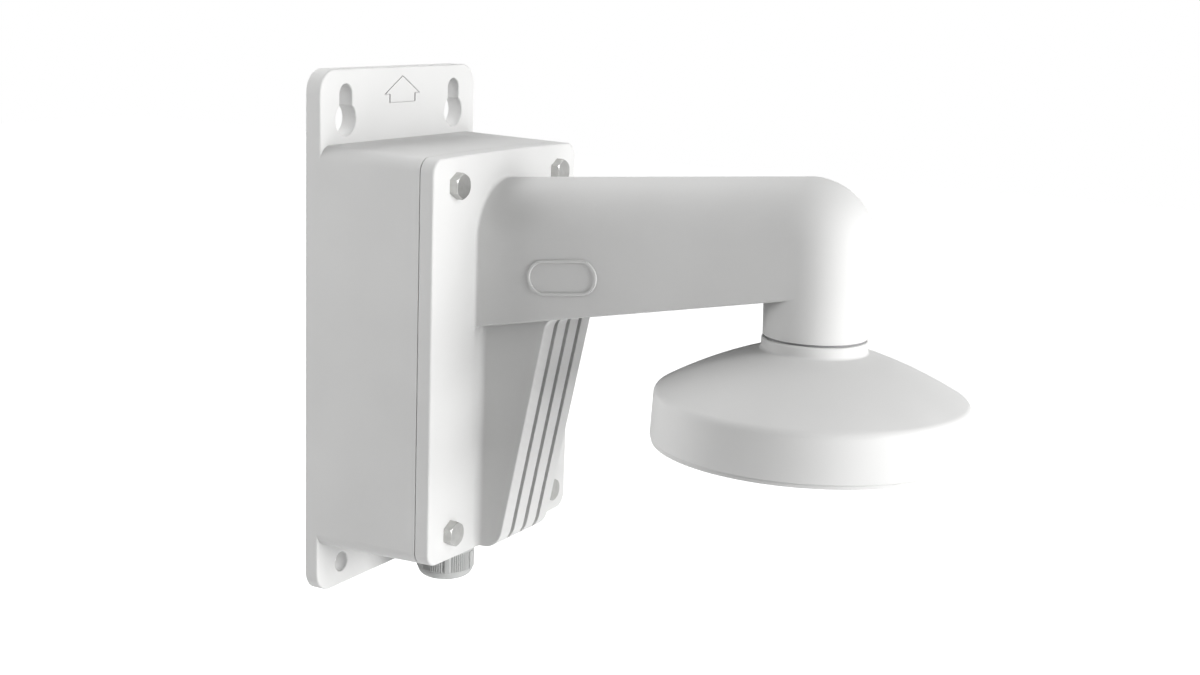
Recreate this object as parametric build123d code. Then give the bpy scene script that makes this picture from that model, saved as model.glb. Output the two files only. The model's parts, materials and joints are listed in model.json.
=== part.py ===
from build123d import *
import os
from math import cos, radians, sin

# Wall bracket for a dome camera: a wall box, a bolted cover with a cable arm, and a pendant cap.
# Frame: X to the right seen from the front, +Y towards the wall, +Z up, millimetres.
# The origin is the middle of the hole pattern, on the wall side of the plate.
# "Depth" is the distance in front of the wall, so a depth of d lies at Y = -d.

# Wall plate
plate_width = 120.0
plate_height = 236.0
plate_thickness = 7.7
foot_thickness = 6.5
plate_corner_radius = 10.0
plate_edge_radius = 0.8
top_flange = 32.5
foot_flange = 22.5
hole_inset_x = 18.0
hole_inset_z = 11.0
screw_hole_d = 9.0
keyhole_entry_d = 14.6
keyhole_drop = 10.8
hole_edge_chamfer = 0.4
min_fillet = 0.5
rim_margin = 1.0
same_place = 0.01

# Junction box: drafted from plate to cover face, its top and foot slightly crowned in front
box_draft_x = 1.0
box_draft_z = 1.4
box_corner_radius = 6.5
box_crown_back = 0.05
box_crown_front = 0.85
seam_depth = 59.0
seam_gap = 0.4
cover_thickness = 6.7
wall = 4.2
back_wall = 5.0
cavity_corner_radius = 4.0
cover_face_wall = 4.0
cover_edge_radius = 0.9
round_steps = 3
root_lap = 0.5

# Cover bolts, M6 with a hexagon head
bolt_inset_x = 17.0
bolt_inset_z = 12.1
bolt_d = 6.0
bolt_length = 22.0
bolt_head_af = 10.0
bolt_head_height = 4.0
bolt_head_round_d = 12.0
bolt_head_chamfer = 0.9
bolt_clearance_d = 6.6
bolt_hole_spare = 3.0
thread_clearance = 0.1
boss_d = 13.0
boss_web_width = 8.0

# Gasket in a groove of the cover
gasket_width = 2.0
gasket_height = 1.9
gasket_inset = 1.1
gasket_clearance = 0.05

# Rear cable entry
rear_hole_d = 26.0
rear_hole_rise = 35.0
grommet_flange_d = 32.0
grommet_flange = 1.5
grommet_bore_d = 12.0
grommet_edge_radius = 0.6
grommet_back_gap = 0.2

# Cable gland, M20, on a flat pad under the box
gland_inset = 23.0
gland_thread_d = 20.0
gland_hole_d = 20.4
gland_pad_d = 36.0
gland_pad_drop = 1.2
gland_wall = 6.6
gland_seal_d = 28.0
gland_seal_thickness = 1.5
gland_hex_af = 29.0
gland_hex_height = 5.0
gland_hex_round_d = 33.1
gland_hex_chamfer = 1.75
gland_thread_spare = 2.0
gland_bore_d = 14.0
gland_stub_d = 22.9
gland_stub_length = 9.0
gland_nut_gap = 1.0
gland_nut_d = 27.2
gland_nut_height = 14.2
gland_nut_floor = 2.0
gland_nut_mouth_d = 15.0
gland_nut_foot_d = 21.0
gland_nut_collar = 1.4
gland_dome_height = 4.2
gland_dome_middle_share = 0.72
gland_dome_middle_rise = 1.6
gland_knurl_depth = 0.5
gland_rib_count = 6
gland_knurls_between = 9
gland_rib_width = 3.0
gland_rib_proud = 0.4
gland_nut_turn = 36.7
locknut_af = 25.0
locknut_height = 5.0
rubber_d = 18.0
rubber_bore_d = 9.0
rubber_height = 8.4

# Earth point on a boss of the back wall
earth_x = -34.0
earth_rise = 45.0
earth_boss_d = 11.0
earth_boss_height = 5.0
earth_screw_d = 4.0
earth_screw_length = 8.0
earth_head_d = 8.0
earth_head_height = 3.0
earth_washer_d = 9.0
earth_washer_thickness = 0.8

# Recesses in the screw heads, as shares of the head
cross_span = 0.55
cross_width = 0.15
pan_head_round = 0.45

# Arm: an arch section, flat below and round above, tapering to the elbow
arm_root_half_width = 26.3
arm_root_bottom = 8.3
arm_root_top = 72.4
arm_end_half_width = 22.4
arm_end_bottom = 36.4
arm_end_top = 84.8
arm_length = 149.6
elbow_bend_radius = 5.0
arm_wall = 4.0
arm_edge_radius = 0.8
arm_root_fillet = 1.5
neck_end_z = 19.9
neck_end_radius = 21.5
neck_thread_d = 33.2

# Gusset under the arm, with grooves down its front
gusset_half_width = 20.4
gusset_slope = 0.202
gusset_length_at_zero = 30.7
gusset_foot_lift = 0.5
gusset_foot_radius = 10.0
gusset_top_radius = 7.0
gusset_wall = 3.5
gusset_front_wall = 6.0
gusset_edge_radius = 0.6
gusset_root_fillet = 3.0
pocket_lap = 0.5
groove_count = 3
groove_pitch = 10.85
groove_width = 3.2
groove_depth = 2.5

# Pendant cap
cap_seam = 0.9
collar_radius = 21.9
collar_height = 4.9
collar_edge_radius = 0.8
collar_foot_fillet = 1.2
cone_middle_drop = 8.1
cone_skin_factor = 1.1
shoulder_drop = 19.3
shoulder_fillet = 3.5
rim_radius = 66.2
rim_height = 20.0
rim_draft = 0.9
rim_edge_radius = 0.6
cap_wall = 3.0
spigot_length = 14.0
spigot_bore_d = 25.0
seal_inset = 1.2

# Camera plate and its screws, M3 with a flat head sunk in the plate
camera_plate_step = 0.6
camera_plate_thickness = 1.5
camera_plate_hole_d = 50.0
camera_hole_d = 4.3
camera_hole_inset = 12.2
camera_hole_count = 4
camera_hole_phase = 45.0
plate_screw_count = 3
plate_screw_inset = 28.2
plate_screw_d = 3.0
plate_screw_length = 9.0
plate_screw_head_d = 5.8
plate_screw_sink = 0.1
plate_screw_phase = 30.0
plate_hole_spare = 2.0
plate_boss_d = 8.0

# Set screw of the neck
set_screw_d = 4.0
set_screw_rise = 7.1
set_screw_recess = 0.5
set_screw_socket_d = 2.0
set_screw_hole_spare = 2.0

# Places worked out from the driving dimensions
hole_pitch_x = plate_width - 2 * hole_inset_x
hole_pitch_z = plate_height - 2 * hole_inset_z
box_centre_z = (foot_flange - top_flange) / 2
box_back_width = plate_width
box_back_height = plate_height - top_flange - foot_flange
box_front_width = box_back_width - 2 * box_draft_x
box_front_height = box_back_height - 2 * box_draft_z
bolt_pitch_x = box_front_width - 2 * bolt_inset_x
bolt_pitch_z = box_front_height - 2 * bolt_inset_z
rear_hole_z = box_centre_z + rear_hole_rise
earth_z = box_centre_z + earth_rise
cover_depth = seam_depth + seam_gap + cover_thickness
arm_reach = cover_depth + arm_length
gusset_depth_at_zero = cover_depth + gusset_length_at_zero
gusset_foot_z = box_centre_z - box_front_height / 2 + gusset_foot_lift
bend_depth = arm_reach - elbow_bend_radius
bend_z = arm_end_top - elbow_bend_radius - arm_end_half_width
cover_back = seam_depth + seam_gap
collar_top_z = neck_end_z - cap_seam
collar_foot_z = collar_top_z - collar_height
cone_middle_radius = (collar_radius + rim_radius - rim_draft) / 2
cone_middle_z = collar_foot_z - cone_middle_drop
shoulder_radius = rim_radius - rim_draft
shoulder_z = collar_foot_z - shoulder_drop
rim_z = shoulder_z - rim_height
camera_plate_radius = rim_radius - camera_plate_step
camera_plate_z = rim_z - camera_plate_thickness
camera_hole_circle_d = 2 * (rim_radius - camera_hole_inset)
plate_screw_circle_d = 2 * (rim_radius - plate_screw_inset)
set_screw_z = neck_end_z + set_screw_rise
gland_depth = seam_depth - gland_inset
gland_pad_z = box_centre_z - box_back_height / 2 - gland_pad_drop
gland_seat_z = gland_pad_z + gland_wall
gland_flange_top_z = gland_pad_z - gland_seal_thickness
gland_flange_foot_z = gland_flange_top_z - gland_hex_height
gland_nut_top_z = gland_flange_foot_z - gland_nut_gap
gland_nut_foot_z = gland_nut_top_z - gland_nut_height
rubber_foot_z = gland_nut_foot_z + gland_nut_floor
earth_boss_top = back_wall + earth_boss_height


# Helpers

def mix(a, b, t):
    """Value a share t of the way from a to b."""
    return a + (b - a) * t


def front_plane(depth):
    """Plane parallel to the wall, its normal away from the wall, local axes X and Z."""
    return Plane(origin=(0, -depth, 0), x_dir=(1, 0, 0), z_dir=(0, -1, 0))


def side_face(*points):
    """Face in the middle plane, from (depth, z) points."""
    return Plane.YZ * make_face(Polyline(*[(-depth, z) for depth, z in points], close=True))


def forward(diameter, start, end, x=0.0, z=0.0):
    """Round bar that lies along Y between two depths."""
    return extrude(front_plane(start) * (Pos(x, z) * Circle(diameter / 2)), end - start)


def upright(diameter, low, high, x=0.0, depth=0.0):
    """Round bar that stands between two heights."""
    return Pos(x, -depth, low) * extrude(Circle(diameter / 2), high - low)


def hexagon(across_flats):
    """Regular hexagon by its width across flats, with flats on the left and right."""
    return RegularPolygon(across_flats / 2, 6, major_radius=False)


def around(count, circle_d, phase=0.0):
    """Places on a circle about the cap's axis, as (x, depth)."""
    for i in range(count):
        angle = radians(phase + 360 * i / count)
        yield circle_d / 2 * cos(angle), arm_reach - circle_d / 2 * sin(angle)


def vertex_near(face, depth, z):
    """Corner of a side face that lies nearest to a place."""
    return face.vertices().sort_by_distance((0, -depth, z))[0]


def edge_near(solid, depth, z):
    """Edge of a solid that passes nearest to a place in the middle plane."""
    place = Vector(0, -depth, z)
    return min(solid.edges(), key=lambda edge: edge.distance_to(Vertex(place)))


def root_curve(radius):
    """Concave quarter round in straight steps, as (rise, reach), its two ends run on into the metal."""
    points = [(-root_lap, radius)]
    for i in range(round_steps + 1):
        angle = radians(90 * i / round_steps)
        points.append((radius * (1 - cos(angle)), radius * (1 - sin(angle))))
    (rise_a, reach_a), (rise_b, reach_b) = points[-2:]
    points.append((2 * rise_b - rise_a, 2 * reach_b - reach_a))
    return points


# Box outline, shared by the wall box, the cover and the gasket

def box_outline(depth, inset=0.0, radius=box_corner_radius):
    """Outline at a depth: straight sides, crowned top and foot, round corners."""
    t = max(0.0, (depth - plate_thickness) / (cover_depth - plate_thickness))
    half_w = mix(box_back_width, box_front_width, t) / 2 - inset
    half_h = mix(box_back_height, box_front_height, t) / 2 - inset
    rise = mix(box_crown_back, box_crown_front, t)
    edges = Line((-half_w, -half_h), (-half_w, half_h))
    edges += ThreePointArc((-half_w, half_h), (0, half_h + rise), (half_w, half_h))
    edges += Line((half_w, half_h), (half_w, -half_h))
    edges += ThreePointArc((half_w, -half_h), (0, -half_h - rise), (-half_w, -half_h))
    face = make_face(edges)
    face = fillet(face.vertices(), radius)
    return front_plane(depth) * (Pos(0, box_centre_z) * face)


def box_block(start, end, inset=0.0, radius=box_corner_radius):
    """Drafted block that follows the outline between two depths."""
    return loft([box_outline(start, inset, radius), box_outline(end, inset, radius)], ruled=True)


def bolt_places():
    """Middles of the four cover bolts, as (x, z)."""
    for side in (-1, 1):
        for level in (1, -1):
            yield side * bolt_pitch_x / 2, box_centre_z + level * bolt_pitch_z / 2


# Wall box

def keyhole(x):
    """Entry hole for the screw head with a slot up to where the screw hangs."""
    top = hole_pitch_z / 2
    slot = Pos(x, top - keyhole_drop / 2) * Rectangle(screw_hole_d, keyhole_drop)
    slot += Pos(x, top) * Circle(screw_hole_d / 2)
    return slot + Pos(x, top - keyhole_drop) * Circle(keyhole_entry_d / 2)


def edges_at_depth(part, depth, low_z, high_z, half_width):
    """Edges that lie flat at one depth, inside a window of X and Z."""
    found = ShapeList()
    for edge in part.edges():
        box = edge.bounding_box()
        flat = abs(box.min.Y + depth) < same_place and abs(box.max.Y + depth) < same_place
        if flat and box.min.Z > low_z and box.max.Z < high_z and max(-box.min.X, box.max.X) < half_width:
            found.append(edge)
    return found


def rounded_slab(outline, thickness):
    """Flat slab on the wall with its front edge rounded."""
    slab = extrude(front_plane(0) * outline, thickness)
    return fillet(slab.edges().group_by(Axis.Y)[0], plate_edge_radius)


def make_wall_plate():
    """Back plate with its holes: thinner below the box than above."""
    outline = RectangleRounded(plate_width, plate_height, plate_corner_radius)
    below = Pos(0, box_centre_z - plate_height) * Rectangle(2 * plate_width, 2 * plate_height)
    plate = rounded_slab(outline, foot_thickness) + rounded_slab(outline - below, plate_thickness)
    for x in (-hole_pitch_x / 2, hole_pitch_x / 2):
        plate -= extrude(front_plane(0) * keyhole(x), plate_thickness)
        plate -= forward(screw_hole_d, 0, plate_thickness, x, -hole_pitch_z / 2)
    half_w = plate_width / 2 - rim_margin
    half_h = plate_height / 2 - rim_margin
    box_top = box_centre_z + box_back_height / 2
    box_foot = box_centre_z - box_back_height / 2
    rims = edges_at_depth(plate, plate_thickness, box_top, half_h, half_w)
    rims += edges_at_depth(plate, foot_thickness, -half_h, box_foot, half_w)
    return chamfer(rims, hole_edge_chamfer)


def corner_boss(x, z, start, end):
    """Bolt boss with a web out to the top or foot wall."""
    level = 1 if z > box_centre_z else -1
    reach = box_centre_z + level * (box_front_height - wall) / 2 - z
    web = front_plane(start) * (Pos(x, z + reach / 2) * Rectangle(boss_web_width, abs(reach)))
    return forward(boss_d, start, end, x, z) + extrude(web, end - start)


def make_wall_box():
    """Plate and hollow box in one casting, with the bolt bosses, earth boss, gland pad and cable holes."""
    body = make_wall_plate()
    body += box_block(0.0, plate_thickness) + box_block(plate_thickness, seam_depth)
    body -= box_block(back_wall, seam_depth, wall, cavity_corner_radius)
    body += upright(gland_pad_d, gland_pad_z, gland_seat_z, depth=gland_depth)
    for x, z in bolt_places():
        body += corner_boss(x, z, back_wall, seam_depth)
    body += forward(earth_boss_d, back_wall, earth_boss_top, earth_x, earth_z)
    bolt_end = cover_depth - bolt_length
    for x, z in bolt_places():
        body -= forward(bolt_d + thread_clearance, bolt_end - bolt_hole_spare, seam_depth, x, z)
    earth_end = earth_boss_top + earth_washer_thickness - earth_screw_length
    body -= forward(earth_screw_d + thread_clearance, earth_end, earth_boss_top, earth_x, earth_z)
    body -= forward(rear_hole_d, 0, back_wall, z=rear_hole_z)
    return body - upright(gland_hole_d, gland_pad_z, gland_seat_z, depth=gland_depth)


# Arm and cover, one casting

def arm_bottom(depth):
    """Height of the arm's flat underside at a depth."""
    return mix(arm_root_bottom, arm_end_bottom, (depth - cover_depth) / (bend_depth - cover_depth))


def neck_radius_at(z):
    """Outer radius of the drafted neck at a height."""
    return mix(neck_end_radius, arm_end_half_width, (z - neck_end_z) / (bend_z - neck_end_z))


def arm_section(depth, skin=0.0):
    """Arch of the arm at a depth, a skin's thickness inside its outer surface.

    Its foot is flat with rounded corners and its top is half round. From the knee down the sides lean in
    more and more towards the elbow, where they run into the drafted neck.
    """
    t = (depth - cover_depth) / (bend_depth - cover_depth)
    half_w = mix(arm_root_half_width, arm_end_half_width, t) - skin
    foot_half_w = half_w - t * (arm_end_half_width - neck_radius_at(arm_end_bottom))
    bottom = arm_bottom(depth) + skin
    top = mix(arm_root_top, arm_end_top, t) - skin
    spring = top - half_w
    knee = spring - elbow_bend_radius
    edges = Polyline((-half_w, spring), (-half_w, knee), (-foot_half_w, bottom), (foot_half_w, bottom),
                     (half_w, knee), (half_w, spring))
    edges += ThreePointArc((half_w, spring), (0, top), (-half_w, spring))
    face = make_face(edges)
    feet = face.vertices().group_by(Axis.Y)[0]
    return front_plane(depth) * fillet(feet, arm_edge_radius)


def cheek_section(depth, skin):
    """Section between the arm's underside and the elbow, its sides on the drafted neck."""
    bottom = arm_bottom(depth)
    half_w = arm_end_half_width - skin
    foot_half_w = neck_radius_at(bottom) - skin
    edges = Polyline((-half_w, bend_z), (-foot_half_w, bottom + skin), (foot_half_w, bottom + skin),
                     (half_w, bend_z), close=True)
    face = make_face(edges)
    feet = face.vertices().group_by(Axis.Y)[0]
    return front_plane(depth) * fillet(feet, arm_edge_radius)


def arm_body(start, neck_radius, neck_top_radius, skin=0.0):
    """Arm, elbow and neck as one solid, for the outside or for the channel."""
    half_w = arm_end_half_width - skin
    body = loft([arm_section(start, skin), arm_section(bend_depth, skin)], ruled=True)
    body += elbow(half_w, arm_end_top - skin)
    cheeks = [cheek_section(depth, skin) for depth in (bend_depth, arm_reach)]
    body += loft(cheeks, ruled=True)
    neck = Polyline((0, neck_end_z), (neck_radius, neck_end_z), (neck_top_radius, bend_z), (0, bend_z),
                    close=True)
    return body + Pos(0, -arm_reach, 0) * revolve(Plane.XZ * make_face(neck), Axis.Z)


def elbow(half_w, top):
    """Quarter turn of the arch's upper part, down to the neck."""
    spring = top - half_w
    edges = Polyline((-half_w, spring), (-half_w, bend_z), (half_w, bend_z), (half_w, spring))
    edges += ThreePointArc((half_w, spring), (0, top), (-half_w, spring))
    section = front_plane(bend_depth) * make_face(edges)
    return revolve(section, Axis((0, -bend_depth, bend_z), (1, 0, 0)), 90)


def arm_root_flare():
    """Concave fillet where the arm grows out of the cover, in straight steps."""
    stations = [arm_section(cover_depth + rise, -reach) for rise, reach in root_curve(arm_root_fillet)]
    return loft(stations, ruled=True)


def gusset_plan(back, front):
    """The gusset seen from above, run through its height: sides that flare out to the cover."""
    side = gusset_half_width
    flare = gusset_half_width + gusset_root_fillet
    middle = gusset_root_fillet * (1 - cos(radians(45)))
    edges = Polyline((-side, -cover_depth - gusset_root_fillet), (-side, -front), (side, -front),
                     (side, -cover_depth - gusset_root_fillet))
    edges += ThreePointArc((side, -cover_depth - gusset_root_fillet), (side + middle, -cover_depth - middle),
                           (flare, -cover_depth))
    edges += Polyline((flare, -cover_depth), (flare, -back), (-flare, -back), (-flare, -cover_depth))
    edges += ThreePointArc((-flare, -cover_depth), (-side - middle, -cover_depth - middle),
                           (-side, -cover_depth - gusset_root_fillet))
    return Pos(0, 0, gusset_foot_z) * extrude(make_face(edges), arm_root_top - gusset_foot_z)


def gusset_front(z, skin=0.0):
    """Depth of the gusset's slanted front at a height."""
    return gusset_depth_at_zero + gusset_slope * z - skin


def gusset_meets_arm(skin=0.0):
    """Depth at which the slanted front reaches the underside of the arm."""
    fall = (arm_end_bottom - arm_root_bottom) / (bend_depth - cover_depth)
    start = arm_root_bottom - fall * cover_depth
    return (gusset_depth_at_zero - skin + gusset_slope * start) / (1 - gusset_slope * fall)


def make_gusset():
    """Solid gusset under the arm: a side profile with a curved foot and top, cut by the flared plan."""
    back = cover_depth - cover_face_wall / 2
    top = gusset_meets_arm()
    toe = top + 3 * gusset_top_radius
    lap = arm_wall / 2
    face = side_face((back, gusset_foot_z), (gusset_front(gusset_foot_z), gusset_foot_z),
                     (top, arm_bottom(top)), (toe, arm_bottom(toe)), (toe, arm_bottom(toe) + lap),
                     (back, arm_bottom(back) + lap))
    face = fillet(vertex_near(face, gusset_front(gusset_foot_z), gusset_foot_z), gusset_foot_radius)
    face = fillet(vertex_near(face, top, arm_bottom(top)), gusset_top_radius)
    block = extrude(face, gusset_half_width + gusset_root_fillet, both=True) & gusset_plan(back, toe)
    front = [edge for edge in block.edges() if on_slanted_front(edge)]
    return fillet(front, gusset_edge_radius)


def on_slanted_front(edge):
    """True for the two long edges of the gusset's front."""
    top = gusset_meets_arm()
    middle = edge.position_at(0.5)
    on_front = abs(middle.Y + gusset_front(middle.Z)) < same_place
    return on_front and abs(abs(middle.X) - gusset_half_width) < same_place


def gusset_pocket():
    """Hollow of the gusset, open to the cover's back and to the arm's channel."""
    back = cover_back
    foot = gusset_foot_z + gusset_wall
    top = gusset_meets_arm(gusset_front_wall)
    over = arm_wall + pocket_lap
    face = side_face((back, foot), (gusset_front(foot, gusset_front_wall), foot),
                     (top, arm_bottom(top) + over), (back, arm_bottom(back) + over))
    return extrude(face, gusset_half_width - gusset_wall, both=True)


def gusset_grooves():
    """Cutters for the grooves, as deep as the slanted front all the way up."""
    foot = gusset_foot_z - root_lap
    top = gusset_meets_arm(groove_depth)
    far = top + 4 * gusset_top_radius
    face = side_face((gusset_front(foot, groove_depth), foot), (far, foot), (far, arm_bottom(far)),
                     (top, arm_bottom(top)))
    cutter = extrude(face, groove_width / 2, both=True)
    return [Pos((i - (groove_count - 1) / 2) * groove_pitch, 0, 0) * cutter for i in range(groove_count)]


def cover_shell():
    """Drafted tray with a rounded front edge, bosses in its corners."""
    stations = [box_outline(cover_back)]
    for i in range(round_steps + 1):
        angle = radians(90 * i / round_steps)
        depth = cover_depth - cover_edge_radius * (1 - sin(angle))
        inset = cover_edge_radius * (1 - cos(angle))
        stations.append(box_outline(depth, inset, box_corner_radius - inset))
    shell = loft(stations, ruled=True)
    shell -= box_block(cover_back, cover_depth - cover_face_wall, wall, cavity_corner_radius)
    for x, z in bolt_places():
        shell += corner_boss(x, z, cover_back, cover_depth - cover_face_wall)
    return shell


def gasket_ring(start, height, clearance=0.0):
    """Ring that follows the rim of the box."""
    inner = gasket_inset + gasket_width + clearance
    outer = gasket_inset - clearance
    ring = box_outline(seam_depth, outer, box_corner_radius - outer)
    ring -= box_outline(seam_depth, inner, box_corner_radius - inner)
    return extrude(Pos(0, seam_depth - start, 0) * ring, height)


def make_arm_cover():
    """Cover, arm, elbow, neck and gusset in one hollow casting."""
    body = cover_shell()
    body += arm_body(cover_depth - cover_face_wall / 2, neck_end_radius, arm_end_half_width)
    body += arm_root_flare()
    body += make_gusset()
    for cutter in gusset_grooves():
        body -= cutter
    bore_radius = (neck_thread_d + thread_clearance) / 2
    body -= arm_body(cover_back, bore_radius, bore_radius, arm_wall)
    body -= gusset_pocket()
    body -= gasket_ring(cover_back, seam_depth + gasket_height - cover_back, gasket_clearance)
    for x, z in bolt_places():
        body -= forward(bolt_clearance_d, cover_back, cover_depth, x, z)
    return body - set_screw_hole()


def set_screw_hole():
    """Bar that cuts the set screw's hole through the neck."""
    length = neck_end_radius + set_screw_hole_spare
    low = (Align.CENTER, Align.CENTER, Align.MIN)
    bar = Cylinder((set_screw_d + thread_clearance) / 2, length, align=low)
    return Pos(0, -arm_reach, set_screw_z) * Rot(0, 90, 0) * bar


# Fasteners

def make_cover_bolt(x, z):
    """Cover bolt: hexagon head with a turned chamfer, flats on the left and right, and a plain shank."""
    head = extrude(Rot(0, 0, 30) * hexagon(bolt_head_af), bolt_head_height)
    turned = extrude(Circle(bolt_head_round_d / 2), bolt_head_height)
    head = head & chamfer(turned.edges().group_by(Axis.Z)[-1], bolt_head_chamfer)
    shank = Pos(0, 0, -bolt_length) * extrude(Circle(bolt_d / 2), bolt_length)
    return front_plane(cover_depth) * (Pos(x, z, 0) * (head + shank))


def pan_screw(head_d, head_height, shank_d, length):
    """Pan head screw along local Z, its head from 0 upwards."""
    head = extrude(Circle(head_d / 2), head_height)
    head = fillet(head.edges().group_by(Axis.Z)[-1], head_height * pan_head_round)
    screw = head + Pos(0, 0, -length) * extrude(Circle(shank_d / 2), length)
    return screw - cross_recess(head_d, head_height)


def cross_recess(head_d, top):
    """Cutter for a cross recess whose mouth is at a height of top."""
    width = head_d * cross_width
    cross = Rectangle(head_d * cross_span, width) + Rectangle(width, head_d * cross_span)
    return Pos(0, 0, top - width) * extrude(cross, width)


def make_earth_screw():
    """Earth screw, its head on the washer."""
    screw = pan_screw(earth_head_d, earth_head_height, earth_screw_d, earth_screw_length)
    return front_plane(earth_boss_top + earth_washer_thickness) * (Pos(earth_x, earth_z, 0) * screw)


def make_earth_washer():
    """Flat washer on the earth boss."""
    start = earth_boss_top
    end = start + earth_washer_thickness
    washer = forward(earth_washer_d, start, end, earth_x, earth_z)
    return washer - forward(earth_screw_d + 2 * thread_clearance, start, end, earth_x, earth_z)


def make_set_screw():
    """Grub screw in the neck's side, its tip on the cap's thread."""
    tip = neck_thread_d / 2
    head = neck_end_radius - set_screw_recess
    low = (Align.CENTER, Align.CENTER, Align.MIN)
    grub = Cylinder(set_screw_d / 2, head - tip, align=low)
    socket = extrude(hexagon(set_screw_socket_d), set_screw_socket_d)
    grub -= Pos(0, 0, head - tip - set_screw_socket_d) * socket
    return Pos(0, -arm_reach, set_screw_z) * Rot(0, 90, 0) * Pos(0, 0, tip) * grub


# Seals and grommet

def make_cover_gasket():
    """Rubber ring in the cover's groove, on the rim of the box."""
    return gasket_ring(seam_depth, gasket_height)


def make_neck_seal():
    """Rubber ring between the neck and the cap's collar."""
    outer = 2 * (collar_radius - seal_inset)
    seal = upright(outer, collar_top_z, neck_end_z, depth=arm_reach)
    return seal - upright(neck_thread_d + 2 * thread_clearance, collar_top_z, neck_end_z, depth=arm_reach)


def make_rear_grommet():
    """Rubber grommet gripped by its two flanges in the back wall."""
    ring = forward(rear_hole_d, grommet_back_gap, back_wall + grommet_flange, z=rear_hole_z)
    ring += forward(grommet_flange_d, back_wall, back_wall + grommet_flange, z=rear_hole_z)
    ring = fillet(ring.edges().group_by(Axis.Y)[0], grommet_edge_radius)
    return ring - forward(grommet_bore_d, 0, back_wall + grommet_flange, z=rear_hole_z)


# Cable gland

def make_gland_body():
    """Gland body: thread through the box wall, hexagon flange and the stub that the dome nut turns on."""
    flange = Pos(0, -gland_depth, gland_flange_foot_z) * extrude(hexagon(gland_hex_af), gland_hex_height)
    turned = upright(gland_hex_round_d, gland_flange_foot_z, gland_flange_top_z, depth=gland_depth)
    body = flange & chamfer(turned.edges().group_by(Axis.Z)[0], gland_hex_chamfer)
    thread_top = gland_seat_z + locknut_height + gland_thread_spare
    stub_foot = gland_flange_foot_z - gland_stub_length
    body += upright(gland_thread_d, gland_flange_top_z, thread_top, depth=gland_depth)
    body += upright(gland_stub_d, stub_foot, gland_flange_foot_z, depth=gland_depth)
    body -= upright(gland_bore_d, stub_foot, thread_top, depth=gland_depth)
    rubber_top = rubber_foot_z + rubber_height
    return body - upright(rubber_d + thread_clearance, stub_foot, rubber_top, depth=gland_depth)


def polar(radius, degrees_round):
    """Point on a circle, as (x, y)."""
    return radius * cos(radians(degrees_round)), radius * sin(radians(degrees_round))


def knurl_outline():
    """Outline of the dome nut: fine knurls between broad smooth ribs."""
    crest = gland_nut_d / 2
    root = crest - gland_knurl_depth
    rib = crest + gland_rib_proud
    sector = 360 / gland_rib_count
    rib_angle = gland_rib_width / rib / radians(1)
    groove = rib_angle / 4
    knurl = (sector - rib_angle - 2 * groove) / gland_knurls_between
    points = []
    for i in range(gland_rib_count):
        start = i * sector
        points += [polar(root, start - rib_angle / 2), polar(crest, start - rib_angle / 2)]
        points += [polar(rib, start + share * rib_angle) for share in (-1 / 3, 0, 1 / 3)]
        points.append(polar(crest, start + rib_angle / 2))
        first = start + rib_angle / 2 + groove
        for k in range(gland_knurls_between):
            points += [polar(root, first + k * knurl), polar(crest, first + (k + 0.5) * knurl)]
        points.append(polar(root, first + gland_knurls_between * knurl))
    return make_face(Polyline(*points, close=True))


def make_gland_nut():
    """Dome nut: knurled barrel, smooth collar above, rounded mouth below, turned as it was tightened."""
    root = gland_nut_d / 2 - gland_knurl_depth
    foot_radius = gland_nut_foot_d / 2
    profile = Line((0, 0), (foot_radius, 0))
    middle = (mix(foot_radius, root, gland_dome_middle_share), gland_dome_middle_rise)
    profile += ThreePointArc((foot_radius, 0), middle, (root, gland_dome_height))
    profile += Polyline((root, gland_dome_height), (root, gland_nut_height), (0, gland_nut_height), (0, 0))
    body = revolve(Plane.XZ * make_face(profile), Axis.Z)
    knurl_height = gland_nut_height - gland_dome_height - gland_nut_collar
    body += Pos(0, 0, gland_dome_height) * extrude(knurl_outline(), knurl_height)
    collar = extrude(Circle(gland_nut_d / 2), gland_nut_collar)
    body += Pos(0, 0, gland_nut_height - gland_nut_collar) * collar
    body -= extrude(Circle(gland_nut_mouth_d / 2), gland_nut_floor)
    bore = extrude(Circle((gland_stub_d + thread_clearance) / 2), gland_nut_height - gland_nut_floor)
    place = Pos(0, -gland_depth, gland_nut_foot_z) * Rot(0, 0, gland_nut_turn)
    return place * (body - Pos(0, 0, gland_nut_floor) * bore)


def make_gland_seal():
    """Flat washer between the gland's flange and the box."""
    ring = upright(gland_seal_d, gland_flange_top_z, gland_pad_z, depth=gland_depth)
    return ring - upright(gland_hole_d, gland_flange_top_z, gland_pad_z, depth=gland_depth)


def make_gland_locknut():
    """Nut that holds the gland from inside the box."""
    nut = Pos(0, -gland_depth, gland_seat_z) * extrude(hexagon(locknut_af), locknut_height)
    top = gland_seat_z + locknut_height
    return nut - upright(gland_thread_d + thread_clearance, gland_seat_z, top, depth=gland_depth)


def make_gland_rubber():
    """Ring that is pressed round the cable."""
    top = rubber_foot_z + rubber_height
    ring = upright(rubber_d, rubber_foot_z, top, depth=gland_depth)
    return ring - upright(rubber_bore_d, rubber_foot_z, top, depth=gland_depth)


# Pendant cap

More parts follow.
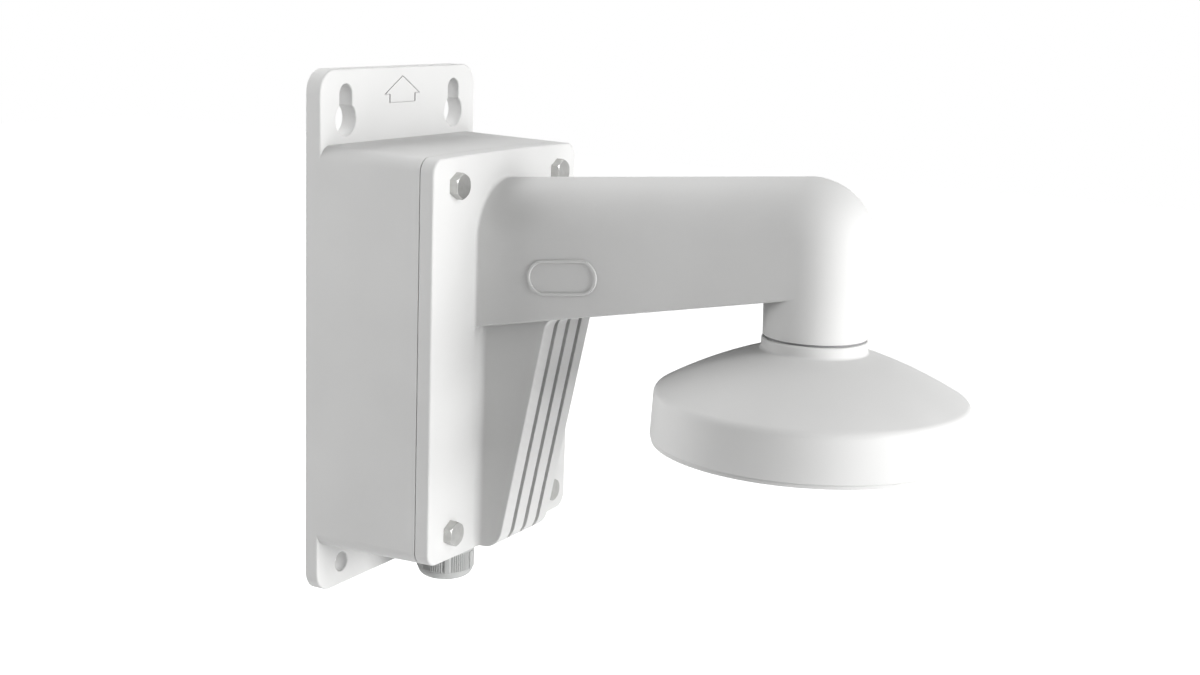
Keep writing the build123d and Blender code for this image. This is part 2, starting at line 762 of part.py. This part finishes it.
def cap_profile(skin=0.0):
    """Half section of the dish below the collar, a skin's thickness inside its outer surface."""
    rim = rim_radius - skin
    shoulder = shoulder_radius - skin
    neck = collar_radius - skin
    drop = skin * cone_skin_factor
    foot = Polyline((0, collar_foot_z - drop), (0, rim_z), (rim, rim_z), (shoulder, shoulder_z - drop))
    cone = ThreePointArc((shoulder, shoulder_z - drop), (cone_middle_radius, cone_middle_z - drop),
                         (neck, collar_foot_z - drop))
    face = make_face(foot + cone + Line((neck, collar_foot_z - drop), (0, collar_foot_z - drop)))
    shoulder_corner = face.vertices().sort_by_distance((shoulder, shoulder_z - drop))[0]
    return fillet(shoulder_corner, max(shoulder_fillet - skin, min_fillet))


def cap_solid(skin=0.0):
    """The dish as a full solid, a skin's thickness inside its outer surface."""
    return Pos(0, -arm_reach, 0) * revolve(Plane.XZ * cap_profile(skin), Axis.Z)


def make_pendant_cap():
    """Collar, dish and rim in one casting, with the spigot inside the neck and bosses for the plate."""
    outer = cap_solid()
    outer = fillet(outer.edges().group_by(Axis.Z)[0], rim_edge_radius)
    collar = upright(2 * collar_radius, collar_foot_z - cap_wall, collar_top_z, depth=arm_reach)
    cap = outer + fillet(collar.edges().group_by(Axis.Z)[-1], collar_edge_radius)
    cap = fillet(edge_near(cap, arm_reach + collar_radius, collar_foot_z), collar_foot_fillet)
    cap -= cap_solid(cap_wall)
    for x, depth in around(plate_screw_count, plate_screw_circle_d, plate_screw_phase):
        cap += upright(plate_boss_d, rim_z, collar_foot_z, x, depth) & outer
    cap += upright(neck_thread_d, collar_top_z, collar_top_z + spigot_length, depth=arm_reach)
    cap -= upright(spigot_bore_d, rim_z, collar_top_z + spigot_length, depth=arm_reach)
    hole_top = camera_plate_z + plate_screw_length + plate_hole_spare
    for x, depth in around(plate_screw_count, plate_screw_circle_d, plate_screw_phase):
        cap -= upright(plate_screw_d + thread_clearance, rim_z, hole_top, x, depth)
    return cap


def flat_head():
    """Cone of the plate screw's sunk head, on the Z axis, its narrow end level with the rim."""
    foot = camera_plate_z + plate_screw_sink
    low = (Align.CENTER, Align.CENTER, Align.MIN)
    return Pos(0, 0, foot) * Cone(plate_screw_head_d / 2, plate_screw_d / 2, rim_z - foot, align=low)


def make_camera_plate():
    """Thin round plate that closes the rim, with a large middle hole, camera holes and countersinks."""
    plate = upright(2 * camera_plate_radius, camera_plate_z, rim_z, depth=arm_reach)
    plate -= upright(camera_plate_hole_d, camera_plate_z, rim_z, depth=arm_reach)
    for x, depth in around(camera_hole_count, camera_hole_circle_d, camera_hole_phase):
        plate -= upright(camera_hole_d, camera_plate_z, rim_z, x, depth)
    for x, depth in around(plate_screw_count, plate_screw_circle_d, plate_screw_phase):
        plate -= upright(plate_screw_head_d, camera_plate_z, camera_plate_z + plate_screw_sink, x, depth)
        plate -= Pos(x, -depth, 0) * flat_head()
    return plate


def make_plate_screw(x, depth):
    """Flat head screw that holds the camera plate to a boss of the cap."""
    foot = camera_plate_z + plate_screw_sink
    screw = flat_head() + upright(plate_screw_d, rim_z, foot + plate_screw_length)
    recess = Pos(0, 0, foot) * Rot(180, 0, 0) * cross_recess(plate_screw_head_d, 0)
    return Pos(x, -depth, 0) * (screw - recess)


# Every piece under its name

def all_pieces():
    """Each piece under the name of its file."""
    pieces = {
        "wall_box": make_wall_box(),
        "arm_cover": make_arm_cover(),
        "cover_gasket": make_cover_gasket(),
        "pendant_cap": make_pendant_cap(),
        "neck_seal": make_neck_seal(),
        "neck_set_screw": make_set_screw(),
        "camera_plate": make_camera_plate(),
        "gland_body": make_gland_body(),
        "gland_dome_nut": make_gland_nut(),
        "gland_flat_seal": make_gland_seal(),
        "gland_locknut": make_gland_locknut(),
        "gland_rubber": make_gland_rubber(),
        "rear_grommet": make_rear_grommet(),
        "earth_screw": make_earth_screw(),
        "earth_washer": make_earth_washer(),
    }
    for number, (x, z) in enumerate(bolt_places(), 1):
        pieces[f"cover_bolt_{number}"] = make_cover_bolt(x, z)
    screws = around(plate_screw_count, plate_screw_circle_d, plate_screw_phase)
    for number, (x, depth) in enumerate(screws, 1):
        pieces[f"plate_screw_{number}"] = make_plate_screw(x, depth)
    return pieces


os.makedirs("parts", exist_ok=True)
for name, piece in all_pieces().items():
    export_step(piece, f"parts/{name}.step")
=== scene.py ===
# %% [markdown]
# # A cast wall bracket for a dome camera
# The bracket is a junction box on a wall plate, a bolted cover with a hollow arm, and a round cap that
# carries the camera. The solids come ready made from the CAD model, at their real size. This lesson
# dresses them: each surface gets the finish that the real one has, and the small cast marks that only
# the eye needs are added. Every length is in millimetres until it meets Blender, which works in metres.

import json
from math import cos, pi, radians, sin

import bmesh
import bpy
from mathutils import Matrix, Vector


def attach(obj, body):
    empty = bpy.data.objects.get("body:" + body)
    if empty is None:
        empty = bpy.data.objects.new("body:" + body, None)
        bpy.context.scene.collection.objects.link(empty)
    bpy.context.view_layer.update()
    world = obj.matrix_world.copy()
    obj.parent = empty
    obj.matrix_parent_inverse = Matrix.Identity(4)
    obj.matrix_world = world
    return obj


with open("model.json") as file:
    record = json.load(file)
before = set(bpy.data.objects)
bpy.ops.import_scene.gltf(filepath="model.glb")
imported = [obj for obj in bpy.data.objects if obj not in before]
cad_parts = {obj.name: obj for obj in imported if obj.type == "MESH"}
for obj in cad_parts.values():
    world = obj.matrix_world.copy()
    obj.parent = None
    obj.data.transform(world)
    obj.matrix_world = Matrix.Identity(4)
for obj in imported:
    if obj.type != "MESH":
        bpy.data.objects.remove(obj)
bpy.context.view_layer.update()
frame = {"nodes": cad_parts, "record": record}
MM = 0.001
print("loaded", len(frame["nodes"]), "pieces")

# %% [markdown]
# ## Colours and nodes
# A colour picked from a screen is an sRGB value, while Blender's sockets want linear light. One function
# does the change, so that every colour below can be written as the hex value that a designer would use.
# A second function adds a shader node. It sets the node's own properties and its input sockets by name,
# and it links a socket where the value given is the output of another node.

# %% Colour and node helpers


def linear(hex_colour):
    """Linear RGBA from an sRGB hex value such as '#E4E4E2'."""
    channels = []
    for start in (1, 3, 5):
        value = int(hex_colour[start:start + 2], 16) / 255
        channels.append(value / 12.92 if value <= 0.04045 else ((value + 0.055) / 1.055) ** 2.4)
    return (*channels, 1.0)


def add_node(tree, kind, settings=None, inputs=None):
    """Adds a node, sets its properties and sockets, and links sockets that are given an output."""
    node = tree.nodes.new(kind)
    for name, value in (settings or {}).items():
        setattr(node, name, value)
    for name, value in (inputs or {}).items():
        socket = node.inputs[name]
        if isinstance(value, bpy.types.NodeSocket):
            tree.links.new(value, socket)
        else:
            socket.default_value = value
    return node


# %% [markdown]
# ## How every finish starts
# No real surface has one flat colour: pigment and wear make it drift a little over patches some
# centimetres wide. So every finish here starts in the same way, with two near tints that a soft noise
# mixes. The noise reads Object coordinates, so it is fixed to the piece and its scale is one over the
# patch size. A Bevel node comes next. It turns the shading smoothly round each sharp edge, as paint,
# tumbling and mould wear do, and leaves the CAD mesh alone. A real bevel on the mesh would do the same
# for far more faces.

# %% The start and end of a finish
MIX_FACTOR, MIX_FIRST, MIX_SECOND, MIX_COLOUR = 0, 6, 7, 2
DRIFT_LOW, DRIFT_HIGH = 0.3, 0.7
SOFT_NOISE_DETAIL = 1.0
BEVEL_SAMPLES = 6


def new_material(name):
    """An empty node material and its tree."""
    material = bpy.data.materials.new(name)
    material.use_nodes = True
    material.node_tree.nodes.clear()
    return material, material.node_tree


def start_finish(name, tints, patch, edge):
    """A material with two mixed tints and softened edges, for patches and edges of the given sizes.

    Returns the material, its tree, and the three outputs to build on: the place, the colour and the normal.
    """
    material, tree = new_material(name)
    place = add_node(tree, "ShaderNodeTexCoord").outputs["Object"]
    drift = add_node(tree, "ShaderNodeTexNoise", inputs={
        "Vector": place,
        "Scale": 1 / (patch * MM),
        "Detail": SOFT_NOISE_DETAIL,
    })
    share = add_node(tree, "ShaderNodeMapRange", inputs={
        "Value": drift.outputs["Fac"],
        "From Min": DRIFT_LOW,
        "From Max": DRIFT_HIGH,
    })
    colour = add_node(tree, "ShaderNodeMix", {"data_type": "RGBA"}, {
        MIX_FACTOR: share.outputs["Result"],
        MIX_FIRST: linear(tints[0]),
        MIX_SECOND: linear(tints[1]),
    })
    edges = add_node(tree, "ShaderNodeBevel", {"samples": BEVEL_SAMPLES}, {"Radius": edge * MM})
    return material, tree, place, colour.outputs[MIX_COLOUR], edges.outputs["Normal"]


def end_finish(material, tree, shader):
    """Joins the shader to the output, and says what was made."""
    add_node(tree, "ShaderNodeOutputMaterial", inputs={"Surface": shader.outputs["BSDF"]})
    print(material.name, len(tree.nodes), "nodes")
    return material


# %% [markdown]
# ## Powder coat
# The castings are die-cast aluminium under a white polyester powder coat. The powder is sprayed on dry
# and melts in an oven, so the film is even and matt to satin, with shallow waves like the skin of an
# orange. The real waves are about 0.9 mm wide and a hundredth of a millimetre deep, with a finer grain of
# 0.3 mm on top. They could be cut into the mesh, but at this size they change only the light, so a bump
# is the right tool. The paint is a plastic with an IOR of 1.5. Its matting agent scatters most of the
# mirror-like part, so the specular level goes down, and the coat looks chalky rather than glossy.

# %% Powder coat material
COAT_PATCH = 38.0
COAT_WAVE = 0.9
COAT_WAVE_DEPTH = 0.012
COAT_GRAIN = 0.3
COAT_GRAIN_DEPTH = 0.004
COAT_ROUGHNESS = (0.45, 0.58)
COAT_IOR = 1.5
COAT_SPECULAR = 0.1
CASTING_EDGE = 0.45
SHEET_EDGE = 0.3


def powder_coat(name, tints, edge):
    material, tree, place, colour, edges = start_finish(name, tints, COAT_PATCH, edge)
    waves = add_node(tree, "ShaderNodeTexNoise", inputs={
        "Vector": place,
        "Scale": 1 / (COAT_WAVE * MM),
        "Detail": SOFT_NOISE_DETAIL,
    })
    grain = add_node(tree, "ShaderNodeTexNoise", inputs={
        "Vector": place,
        "Scale": 1 / (COAT_GRAIN * MM),
        "Detail": SOFT_NOISE_DETAIL,
    })
    peel = add_node(tree, "ShaderNodeBump", inputs={
        "Height": waves.outputs["Fac"],
        "Distance": COAT_WAVE_DEPTH * MM,
        "Normal": edges,
    })
    skin = add_node(tree, "ShaderNodeBump", inputs={
        "Height": grain.outputs["Fac"],
        "Distance": COAT_GRAIN_DEPTH * MM,
        "Normal": peel.outputs["Normal"],
    })
    dullness = add_node(tree, "ShaderNodeMapRange", inputs={
        "Value": waves.outputs["Fac"],
        "To Min": COAT_ROUGHNESS[0],
        "To Max": COAT_ROUGHNESS[1],
    })
    shader = add_node(tree, "ShaderNodeBsdfPrincipled", inputs={
        "Base Color": colour,
        "Roughness": dullness.outputs["Result"],
        "IOR": COAT_IOR,
        "Specular IOR Level": COAT_SPECULAR,
        "Normal": skin.outputs["Normal"],
    })
    return end_finish(material, tree, shader)


casting_coat = powder_coat("powder_coated_casting", ("#ECECEB", "#F0F0EF"), CASTING_EDGE)
sheet_coat = powder_coat("powder_coated_sheet", ("#EAEAE9", "#EEEEED"), SHEET_EDGE)

# %% [markdown]
# ## Stainless steel
# The bolts are cold-headed A2 stainless steel, a bare metal. A metal keeps the default IOR and its
# colour is its reflection. Tumbling leaves a satin with fine scratches about a quarter of a millimetre
# apart, drawn out along the bolt, so a Mapping node stretches their noise along Y.

# %% Stainless steel material
STEEL_PATCH = 3.0
STEEL_EDGE = 0.2
STEEL_ROUGHNESS = (0.32, 0.42)
SCRATCH_GAP = 0.25
SCRATCH_DEPTH = 0.002
SCRATCH_STRETCH = (1.0, 0.15, 1.0)


def stainless_steel(name, tints):
    material, tree, place, colour, edges = start_finish(name, tints, STEEL_PATCH, STEEL_EDGE)
    drawn = add_node(tree, "ShaderNodeMapping", inputs={"Vector": place, "Scale": SCRATCH_STRETCH})
    scratches = add_node(tree, "ShaderNodeTexNoise", inputs={
        "Vector": drawn.outputs["Vector"],
        "Scale": 1 / (SCRATCH_GAP * MM),
    })
    satin = add_node(tree, "ShaderNodeBump", inputs={
        "Height": scratches.outputs["Fac"],
        "Distance": SCRATCH_DEPTH * MM,
        "Normal": edges,
    })
    dullness = add_node(tree, "ShaderNodeMapRange", inputs={
        "Value": scratches.outputs["Fac"],
        "To Min": STEEL_ROUGHNESS[0],
        "To Max": STEEL_ROUGHNESS[1],
    })
    shader = add_node(tree, "ShaderNodeBsdfPrincipled", inputs={
        "Base Color": colour,
        "Metallic": 1.0,
        "Roughness": dullness.outputs["Result"],
        "Normal": satin.outputs["Normal"],
    })
    return end_finish(material, tree, shader)


steel = stainless_steel("stainless_steel", ("#B8B8B6", "#C2C2C0"))

# %% [markdown]
# ## Moulded nylon
# The cable gland is moulded from white polyamide. It is softer in its shine than paint, slightly cool
# beside it, and its skin is finely sparked, because the mould was cut by spark erosion.

# %% Nylon material
NYLON_PATCH = 12.0
NYLON_EDGE = 0.2
NYLON_ROUGHNESS = (0.46, 0.58)
NYLON_IOR = 1.53
NYLON_SPECULAR = 0.3
SPARK_GRAIN = 0.22
SPARK_DEPTH = 0.006


def moulded_nylon(name, tints):
    material, tree, place, colour, edges = start_finish(name, tints, NYLON_PATCH, NYLON_EDGE)
    spark = add_node(tree, "ShaderNodeTexNoise", inputs={
        "Vector": place,
        "Scale": 1 / (SPARK_GRAIN * MM),
    })
    skin = add_node(tree, "ShaderNodeBump", inputs={
        "Height": spark.outputs["Fac"],
        "Distance": SPARK_DEPTH * MM,
        "Normal": edges,
    })
    dullness = add_node(tree, "ShaderNodeMapRange", inputs={
        "Value": spark.outputs["Fac"],
        "To Min": NYLON_ROUGHNESS[0],
        "To Max": NYLON_ROUGHNESS[1],
    })
    shader = add_node(tree, "ShaderNodeBsdfPrincipled", inputs={
        "Base Color": colour,
        "Roughness": dullness.outputs["Result"],
        "IOR": NYLON_IOR,
        "Specular IOR Level": NYLON_SPECULAR,
        "Normal": skin.outputs["Normal"],
    })
    return end_finish(material, tree, shader)


nylon = moulded_nylon("moulded_nylon", ("#C6C7C6", "#CFD0CF"))

# %% [markdown]
# ## Rubber
# Two rubbers seal the bracket. The gasket behind the cover and the ring on the neck are silicone, mid
# grey, so that they don't show as black lines against the white. The gland's ring, its washer and the
# grommet in the back wall are black EPDM. Both are dull and a little porous, and have a pale bloom in
# blotches some 5 mm wide.

# %% Rubber material
BLOOM_PATCH = 5.0
RUBBER_EDGE = 0.25
RUBBER_ROUGHNESS = (0.62, 0.78)
RUBBER_IOR = 1.52
PORE_SIZE = 0.35
PORE_DEPTH = 0.02
PORE_DETAIL = 3.0


def seal_rubber(name, tints):
    material, tree, place, colour, edges = start_finish(name, tints, BLOOM_PATCH, RUBBER_EDGE)
    pores = add_node(tree, "ShaderNodeTexNoise", inputs={
        "Vector": place,
        "Scale": 1 / (PORE_SIZE * MM),
        "Detail": PORE_DETAIL,
    })
    skin = add_node(tree, "ShaderNodeBump", inputs={
        "Height": pores.outputs["Fac"],
        "Distance": PORE_DEPTH * MM,
        "Normal": edges,
    })
    dullness = add_node(tree, "ShaderNodeMapRange", inputs={
        "Value": pores.outputs["Fac"],
        "To Min": RUBBER_ROUGHNESS[0],
        "To Max": RUBBER_ROUGHNESS[1],
    })
    shader = add_node(tree, "ShaderNodeBsdfPrincipled", inputs={
        "Base Color": colour,
        "Roughness": dullness.outputs["Result"],
        "IOR": RUBBER_IOR,
        "Normal": skin.outputs["Normal"],
    })
    return end_finish(material, tree, shader)


grey_silicone = seal_rubber("grey_silicone_rubber", ("#9A9A9C", "#A4A4A6"))
black_rubber = seal_rubber("black_epdm_rubber", ("#1C1C1E", "#2A2A2C"))

# %% [markdown]
# ## Dress the solids
# A CAD piece whose shape is right keeps its mesh and only changes its material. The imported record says
# which finish slot each piece has, so the materials are handed out by slot. The two silicone seals are
# the only ones that are named one by one.

# %% Give each piece its finish
finish_of_slot = {
    "body_paint": casting_coat,
    "plate_paint": sheet_coat,
    "seal_rubber": black_rubber,
    "gland_nylon": nylon,
    "steel": steel,
}
finish_of_piece = {"cover_gasket": grey_silicone, "neck_seal": grey_silicone}
for part in frame["record"]["subparts"]:
    finish = finish_of_piece.get(part["node"], finish_of_slot[part["material_slot"]])
    piece = frame["nodes"][part["node"]]
    piece.data.materials.clear()
    piece.data.materials.append(finish)

# %% [markdown]
# ## Cast marks
# The mould leaves two raised marks: an arrow outline between the keyholes, which says which way is up,
# and a pill-shaped frame on the arm's side, left empty here. Each is a closed outline of narrow bead. A
# curve with a bevel could draw it, but a die-cut mark has a flat top and sloping sides, so each one is a
# flat face whose rim is inset, pushed up and bevelled, as the mould maker's cutter would leave it.

# %% Bead helper
CREST_ANGLE = radians(45)
BEAD_SINK = 0.15


def ring_from_face(mesh, width, height, edge):
    """Turns the one face of a flat outline into a raised ring of the given width and height."""
    inner = bmesh.ops.inset_region(mesh, faces=mesh.faces[:], thickness=width, use_boundary=True,
                                   use_even_offset=True)
    rim = inner["faces"]
    bmesh.ops.delete(mesh, geom=[face for face in mesh.faces if face not in rim], context="FACES_ONLY")
    raised = bmesh.ops.extrude_face_region(mesh, geom=mesh.faces[:])
    top = [item for item in raised["geom"] if isinstance(item, bmesh.types.BMVert)]
    bmesh.ops.translate(mesh, verts=top, vec=(0, 0, height))
    bmesh.ops.recalc_face_normals(mesh, faces=mesh.faces[:])
    crest = []
    for line in mesh.edges:
        on_top = all(vert.co.z > height / 2 for vert in line.verts)
        if on_top and len(line.link_faces) == 2 and line.calc_face_angle(0) > CREST_ANGLE:
            crest.append(line)
    bmesh.ops.bevel(mesh, geom=crest, offset=edge, affect="EDGES", segments=2, profile=0.5, material=-1)


def add_piece(name, mesh, place, material):
    """Makes a painted piece of the bracket from a bmesh, with its place baked into the mesh."""
    mesh.transform(place)
    data = bpy.data.meshes.new(name)
    mesh.to_mesh(data)
    mesh.free()
    data.materials.append(material)
    piece = bpy.data.objects.new(name, data)
    bpy.context.scene.collection.objects.link(piece)
    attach(piece, "root")
    print(name, len(data.polygons), "faces")


# %% [markdown]
# ### The pill frame
# It lies on the arm's left flank. The flank is flat but not square to the wall, because the arm narrows
# towards the elbow, so a matrix is built from the flank's own direction and normal. The pill starts as a
# circle whose two halves are pulled apart, which keeps its ends truly round.

# %% Pill frame on the flank
ARM_ROOT = Vector((-26.3, -66.1, 0.0))
ARM_END = Vector((-22.4, -210.7, 0.0))
PILL_LENGTH = 33.8
PILL_HEIGHT = 15.5
PILL_BEAD = 1.4
PILL_RISE = 0.6
PILL_EDGE = 0.3
PILL_SEGMENTS = 64
PILL_DEPTH = 109.3
PILL_Z = 34.9
PILL_TILT = radians(6.4)
ON_AXIS = 1e-4

flank = (ARM_END - ARM_ROOT).normalized()
outward = Vector((flank.y, -flank.x, 0.0))
share = (PILL_DEPTH + ARM_ROOT.y) / (ARM_ROOT.y - ARM_END.y)
centre = ARM_ROOT.lerp(ARM_END, share)
centre.z = PILL_Z

pill = bmesh.new()
bmesh.ops.create_circle(pill, cap_ends=True, segments=PILL_SEGMENTS, radius=PILL_HEIGHT / 2)
for vert in pill.verts:
    if abs(vert.co.x) > ON_AXIS:
        vert.co.x += (PILL_LENGTH - PILL_HEIGHT) / 2 * (1 if vert.co.x > 0 else -1)
ring_from_face(pill, PILL_BEAD, PILL_RISE + BEAD_SINK, PILL_EDGE)

along = flank * cos(PILL_TILT) + Vector((0, 0, sin(PILL_TILT)))
across = outward.cross(along)
basis = Matrix((along, across, outward)).transposed().to_4x4()
basis.translation = centre - outward * BEAD_SINK
add_piece("arm_pill_frame", pill, Matrix.Scale(MM, 4) @ basis, casting_coat)

# %% [markdown]
# ### The arrow
# A squat block arrow points up from the plate's top flange. Seven points give its outline, and the same
# helper turns it into a bead, thinner and lower than the pill's.

# %% Arrow on the top flange
ARROW_TIP_Z = 113.9
ARROW_WING_Z = 105.9
ARROW_FOOT_Z = 102.0
ARROW_WING_X = 13.5
ARROW_STEM_X = 9.8
ARROW_BEAD = 0.7
ARROW_RISE = 0.4
ARROW_EDGE = 0.15
PLATE_FRONT = 7.7

arrow = bmesh.new()
outline = [
    (0.0, ARROW_TIP_Z),
    (-ARROW_WING_X, ARROW_WING_Z),
    (-ARROW_STEM_X, ARROW_WING_Z),
    (-ARROW_STEM_X, ARROW_FOOT_Z),
    (ARROW_STEM_X, ARROW_FOOT_Z),
    (ARROW_STEM_X, ARROW_WING_Z),
    (ARROW_WING_X, ARROW_WING_Z),
]
arrow.faces.new([arrow.verts.new((x, z, 0.0)) for x, z in outline])
ring_from_face(arrow, ARROW_BEAD, ARROW_RISE + BEAD_SINK, ARROW_EDGE)
on_plate = Matrix.Translation((0, -PLATE_FRONT + BEAD_SINK, 0)) @ Matrix.Rotation(pi / 2, 4, "X")
add_piece("plate_arrow", arrow, Matrix.Scale(MM, 4) @ on_plate, casting_coat)

# %% [markdown]
# ## Floor
# The bracket hangs on a wall, so its floor lies well below it. The floor is white paper and takes the
# object's soft shadow. In the photograph everything round the object is pure white. More lamps would
# whiten the paper too, but they would also bleach the paint. So the paper glows, and only for rays that
# come straight from the camera, from a mirror or through glass. Such rays see the white, and the rays
# that carry light to the object don't. In a mirror the glow is weaker: with the lamps' own light on the
# paper it adds up to plain white, so the steel bolts reflect a white room and not a brighter one. The
# paper is clear from below, so that a camera under it can look at the cap's underside.

# %% Floor
FLOOR_Z = -420.0
FLOOR_SIZE = 9000.0
GLOW_IN_MIRROR = 0.4
PAPER = "#F2F2F2"
WHITE = "#FFFFFF"


def seen_directly(tree, in_mirror, otherwise):
    """1 for rays from the camera, in_mirror from a mirror or through glass, and otherwise for the rest."""
    path = add_node(tree, "ShaderNodeLightPath")
    mirror = add_node(tree, "ShaderNodeMath", {"operation": "MAXIMUM"}, {
        0: path.outputs["Is Glossy Ray"],
        1: path.outputs["Is Transmission Ray"],
    })
    mirror_level = add_node(tree, "ShaderNodeMapRange", inputs={
        "Value": mirror.outputs["Value"],
        "To Min": otherwise,
        "To Max": in_mirror,
    })
    level = add_node(tree, "ShaderNodeMath", {"operation": "MAXIMUM"}, {
        0: path.outputs["Is Camera Ray"],
        1: mirror_level.outputs["Result"],
    })
    return level.outputs["Value"]


floor_mesh = bmesh.new()
bmesh.ops.create_grid(floor_mesh, x_segments=1, y_segments=1, size=FLOOR_SIZE / 2 * MM)
bmesh.ops.translate(floor_mesh, verts=floor_mesh.verts, vec=(0, 0, FLOOR_Z * MM))
floor_data = bpy.data.meshes.new("floor")
floor_mesh.to_mesh(floor_data)
floor_mesh.free()
floor = bpy.data.objects.new("floor", floor_data)
bpy.context.scene.collection.objects.link(floor)

paper, tree = new_material("white_paper_floor")
diffuse = add_node(tree, "ShaderNodeBsdfDiffuse", inputs={"Color": linear(PAPER)})
glow = add_node(tree, "ShaderNodeEmission", inputs={
    "Color": linear(WHITE),
    "Strength": seen_directly(tree, GLOW_IN_MIRROR, 0.0),
})
from_above = add_node(tree, "ShaderNodeAddShader", inputs={
    0: diffuse.outputs["BSDF"],
    1: glow.outputs["Emission"],
})
from_below = add_node(tree, "ShaderNodeBsdfTransparent")
side_seen = add_node(tree, "ShaderNodeNewGeometry")
both = add_node(tree, "ShaderNodeMixShader", inputs={
    0: side_seen.outputs["Backfacing"],
    1: from_above.outputs["Shader"],
    2: from_below.outputs["BSDF"],
})
add_node(tree, "ShaderNodeOutputMaterial", inputs={"Surface": both.outputs["Shader"]})
floor_data.materials.append(paper)
print("floor at", FLOOR_Z, "mm")

# %% [markdown]
# ## Light
# The picture is a studio shot. A large soft light stands straight in front of the wall and makes the
# cover and the front of the neck white. Two smaller ones, left of it and higher, draw the arm's upper
# edge and keep the cover white beside the arm. Four lights behind the wall's plane graze the sides: they
# give the box its even light grey, and the box keeps them off the arm's flank, which is why the flank is
# darker. One of these is near, so that its light fades from the box to the neck. The big ones are squares
# of 1.2 m at 2 m, for soft shadows. The world adds a faint even fill, and is white for rays that see it
# directly. White faces throw much light at each other and fill their own hollows. One bounce of that is
# kept, because the picture has deeper shading there than more bounces would leave.

# %% World and lamps
WORLD_LEVEL = 0.05
LAMP_AIM = Vector((0.0, -120.0, 0.0))
BIG, SMALL = 1200.0, 500.0
FAR, NEAR = 2000.0, 700.0
DIFFUSE_BOUNCES = 1

world = bpy.data.worlds.new("white_dome")
bpy.context.scene.world = world
world.use_nodes = True
tree = world.node_tree
tree.nodes.clear()
sky = add_node(tree, "ShaderNodeBackground", inputs={
    "Color": linear(WHITE),
    "Strength": seen_directly(tree, 1.0, WORLD_LEVEL),
})
add_node(tree, "ShaderNodeOutputWorld", inputs={"Surface": sky.outputs["Background"]})


def softbox(name, turn, rise, watts, size, distance):
    """Square lamp aimed at the bracket, turned from straight in front towards +X and raised, in degrees."""
    light = bpy.data.lights.new(name, "AREA")
    light.size = size * MM
    light.energy = watts
    lamp = bpy.data.objects.new(name, light)
    bpy.context.scene.collection.objects.link(lamp)
    turn = radians(turn)
    rise = radians(rise)
    away = Vector((sin(turn) * cos(rise), -cos(turn) * cos(rise), sin(rise)))
    lamp.location = (LAMP_AIM + away * distance) * MM
    lamp.rotation_euler = away.to_track_quat("Z", "Y").to_euler()
    lamp.visible_camera = False


softbox("front", turn=0, rise=5, watts=27.6, size=BIG, distance=FAR)
softbox("front_left", turn=-16, rise=12, watts=6.2, size=SMALL, distance=FAR)
softbox("front_high", turn=-8, rise=35, watts=7.8, size=SMALL, distance=FAR)
softbox("back_left", turn=-165, rise=15, watts=9.0, size=BIG, distance=FAR)
softbox("back_left_near", turn=-145, rise=20, watts=1.5, size=SMALL, distance=NEAR)
softbox("back_top", turn=180, rise=50, watts=9.0, size=BIG, distance=FAR)
softbox("back_right", turn=150, rise=45, watts=10.0, size=BIG, distance=FAR)
bpy.context.scene.cycles.diffuse_bounces = DIFFUSE_BOUNCES
print("lamps", len(bpy.data.lights))

# %% [markdown]
# ## Camera
# The photograph was taken from the front left, slightly above the arm. The camera's place and turn were
# found by fitting the bracket's straight edges and circles to the picture, so they are plain numbers.

# %% Camera
CAMERA_PLACE = (-654.26, -472.12, 158.03)
CAMERA_YAW = radians(61.388)
CAMERA_PITCH = radians(11.546)
CAMERA_ROLL = radians(2.072)
CAMERA_LENS = 51.885
CAMERA_SENSOR = 36.0

forward = Vector((
    sin(CAMERA_YAW) * cos(CAMERA_PITCH),
    cos(CAMERA_YAW) * cos(CAMERA_PITCH),
    -sin(CAMERA_PITCH),
))
level = Vector((cos(CAMERA_YAW), -sin(CAMERA_YAW), 0.0))
upright = level.cross(forward)
side = level * cos(CAMERA_ROLL) + upright * sin(CAMERA_ROLL)
above = upright * cos(CAMERA_ROLL) - level * sin(CAMERA_ROLL)

camera_data = bpy.data.cameras.new("camera")
camera_data.lens = CAMERA_LENS
camera_data.sensor_width = CAMERA_SENSOR
camera_data.sensor_fit = "HORIZONTAL"
camera = bpy.data.objects.new("camera", camera_data)
turn = Matrix((side, above, -forward)).transposed().to_4x4()
camera.matrix_world = Matrix.Translation(Vector(CAMERA_PLACE) * MM) @ turn
bpy.context.scene.collection.objects.link(camera)
bpy.context.scene.camera = camera
bpy.context.scene.view_settings.view_transform = "Standard"
